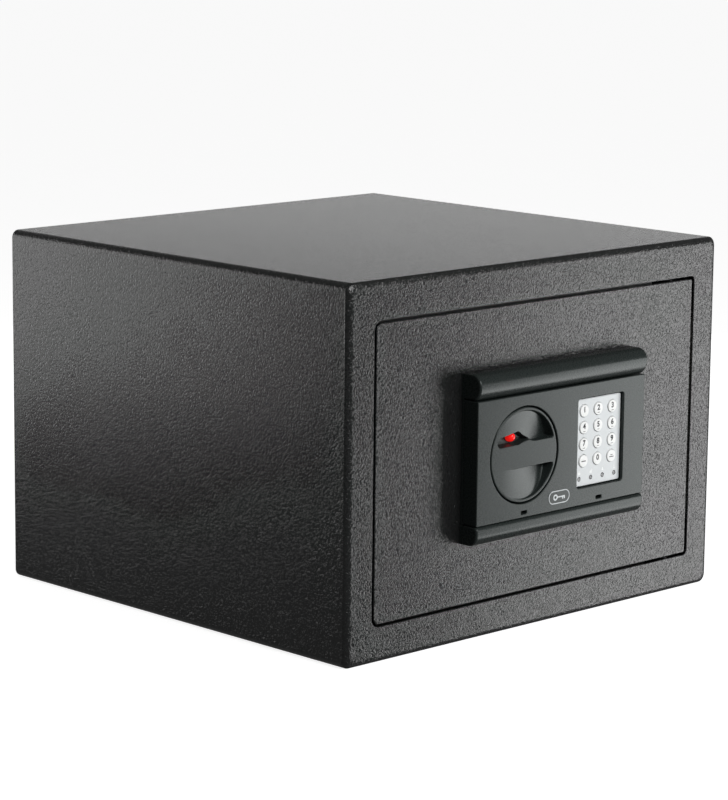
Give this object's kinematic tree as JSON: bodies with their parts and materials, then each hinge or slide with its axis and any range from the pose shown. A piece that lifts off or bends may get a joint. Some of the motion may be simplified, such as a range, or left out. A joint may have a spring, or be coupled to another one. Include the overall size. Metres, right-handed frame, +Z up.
{
  "type": "in-room safe",
  "caption": "Black steel in-room safe with a flush hinged door, an electronic lock unit with keypad and turning knob, and two sliding bolts.",
  "frame": {"origin": "centre of the cabinet's underside", "axes": "+Z up, -Y out of the door, +X to the right of someone facing the door (the hinge side)"},
  "size_m": [0.4, 0.399, 0.278],
  "materials": {
    "textured_black_paint": "textured semi-gloss powder coat",
    "satin_black_paint": "satin paint",
    "zinc_plated_steel": "zinc plated",
    "oiled_steel": "black oiled",
    "bright_steel": "bright nickel plate",
    "brass": "turned",
    "grey_felt": "needled felt",
    "coil_tape": "amber tape",
    "circuit_board": "green solder mask",
    "black_plastic": "fine grain",
    "cell_jacket": "shrink sleeve",
    "grey_cable": "smooth",
    "black_rubber": "matt",
    "satin_black_moulding": "satin ABS",
    "silver_print": "pale silver print",
    "smoked_lens": "smoked",
    "red_lens": "clear red",
    "white_key_plastic": "satin",
    "red_plastic": "gloss"
  },
  "bodies": {
    "cabinet": {"body_wrap": "textured_black_paint", "front_frame": "textured_black_paint", "back_panel": "textured_black_paint", "lock_jamb": "satin_black_paint", "door_stops": "satin_black_paint", "hinge_brackets": "satin_black_paint", "hinge_pins": "oiled_steel", "hinge_washer": "oiled_steel", "floor_mat": "grey_felt"},
    "door": {"door_plate": "textured_black_paint", "hinge_lugs": "oiled_steel", "hinge_side_bar": "zinc_plated_steel", "inner_cover": "satin_black_paint", "cover_screws": "zinc_plated_steel", "bolt_guide": "zinc_plated_steel", "guide_posts": "zinc_plated_steel", "solenoid_frame": "zinc_plated_steel", "solenoid_coil": "coil_tape", "control_board": "circuit_board", "battery_box": "black_plastic", "battery_contacts": "zinc_plated_steel", "batteries": "cell_jacket", "lock_cable": "grey_cable", "cable_grommet": "black_rubber", "spindle_bush": "brass", "lock_housing": "satin_black_moulding", "housing_screws": "zinc_plated_steel", "fascia": "satin_black_moulding", "keypad_plate": "silver_print", "key_mat": "black_rubber", "keypad_board": "circuit_board", "led_lenses": "smoked_lens", "badge": "silver_print", "reset_switch": "zinc_plated_steel"},
    "knob_set": {"knob": "satin_black_moulding", "knob_lens": "red_lens", "spindle": "zinc_plated_steel", "cam_disc": "zinc_plated_steel", "cam_screw": "zinc_plated_steel", "drive_pin": "zinc_plated_steel"},
    "bolt_work": {"bolt_carrier": "zinc_plated_steel", "bolt_upper": "bright_steel", "bolt_lower": "bright_steel"},
    "plunger_set": {"plunger": "bright_steel", "plunger_spring": "bright_steel"},
    "key_1": {"key_1": "white_key_plastic"},
    "key_2": {"key_2": "white_key_plastic"},
    "key_3": {"key_3": "white_key_plastic"},
    "key_4": {"key_4": "white_key_plastic"},
    "key_5": {"key_5": "white_key_plastic"},
    "key_6": {"key_6": "white_key_plastic"},
    "key_7": {"key_7": "white_key_plastic"},
    "key_8": {"key_8": "white_key_plastic"},
    "key_9": {"key_9": "white_key_plastic"},
    "key_start": {"key_start": "white_key_plastic"},
    "key_0": {"key_0": "white_key_plastic"},
    "key_enter": {"key_enter": "white_key_plastic"},
    "reset_button": {"reset_button": "red_plastic"},
    "battery_cover": {"battery_cover": "black_plastic"}
  },
  "joints": [
    {"name": "door_hinge", "type": "hinge", "parent": "cabinet", "child": "door", "pos_m": [0.1535, -0.181, 0.13775], "axis": [0, 0, 1], "range_deg": [0, 100]},
    {"name": "knob_turn", "type": "hinge", "parent": "door", "child": "knob_set", "pos_m": [-0.0345, -0.19, 0.13725], "axis": [0, -1, 0], "range_deg": [0, 90]},
    {"name": "bolt_slide", "type": "slide", "parent": "door", "child": "bolt_work", "axis": [-1, 0, 0], "range_m": [0, 0.01414]},
    {"name": "plunger_slide", "type": "slide", "parent": "door", "child": "plunger_set", "axis": [0, 0, 1], "range_m": [0, 0.007], "deforming": ["plunger_spring"]},
    {"name": "key_1_press", "type": "slide", "parent": "door", "child": "key_1", "axis": [0, 1, 0], "range_m": [0, 0.0008], "stiffness_N_per_m": 400, "springref_m": -0.0006},
    {"name": "key_2_press", "type": "slide", "parent": "door", "child": "key_2", "axis": [0, 1, 0], "range_m": [0, 0.0008], "stiffness_N_per_m": 400, "springref_m": -0.0006},
    {"name": "key_3_press", "type": "slide", "parent": "door", "child": "key_3", "axis": [0, 1, 0], "range_m": [0, 0.0008], "stiffness_N_per_m": 400, "springref_m": -0.0006},
    {"name": "key_4_press", "type": "slide", "parent": "door", "child": "key_4", "axis": [0, 1, 0], "range_m": [0, 0.0008], "stiffness_N_per_m": 400, "springref_m": -0.0006},
    {"name": "key_5_press", "type": "slide", "parent": "door", "child": "key_5", "axis": [0, 1, 0], "range_m": [0, 0.0008], "stiffness_N_per_m": 400, "springref_m": -0.0006},
    {"name": "key_6_press", "type": "slide", "parent": "door", "child": "key_6", "axis": [0, 1, 0], "range_m": [0, 0.0008], "stiffness_N_per_m": 400, "springref_m": -0.0006},
    {"name": "key_7_press", "type": "slide", "parent": "door", "child": "key_7", "axis": [0, 1, 0], "range_m": [0, 0.0008], "stiffness_N_per_m": 400, "springref_m": -0.0006},
    {"name": "key_8_press", "type": "slide", "parent": "door", "child": "key_8", "axis": [0, 1, 0], "range_m": [0, 0.0008], "stiffness_N_per_m": 400, "springref_m": -0.0006},
    {"name": "key_9_press", "type": "slide", "parent": "door", "child": "key_9", "axis": [0, 1, 0], "range_m": [0, 0.0008], "stiffness_N_per_m": 400, "springref_m": -0.0006},
    {"name": "key_start_press", "type": "slide", "parent": "door", "child": "key_start", "axis": [0, 1, 0], "range_m": [0, 0.0008], "stiffness_N_per_m": 400, "springref_m": -0.0006},
    {"name": "key_0_press", "type": "slide", "parent": "door", "child": "key_0", "axis": [0, 1, 0], "range_m": [0, 0.0008], "stiffness_N_per_m": 400, "springref_m": -0.0006},
    {"name": "key_enter_press", "type": "slide", "parent": "door", "child": "key_enter", "axis": [0, 1, 0], "range_m": [0, 0.0008], "stiffness_N_per_m": 400, "springref_m": -0.0006},
    {"name": "reset_press", "type": "slide", "parent": "door", "child": "reset_button", "axis": [0, -1, 0], "range_m": [0, 0.002], "stiffness_N_per_m": 400, "springref_m": -0.0006},
    {"name": "battery_cover_tilt", "type": "hinge", "parent": "door", "child": "battery_cover", "pos_m": [0.089, -0.1441, 0.098], "axis": [-1, 0, 0], "range_deg": [0, 100]}
  ],
  "couplings": [
    {"joint": "knob_turn", "follows": "bolt_slide", "rad_per_m": 111.07},
    {"joint": "plunger_slide", "follows": "bolt_slide", "ratio": 0.49497}
  ]
}
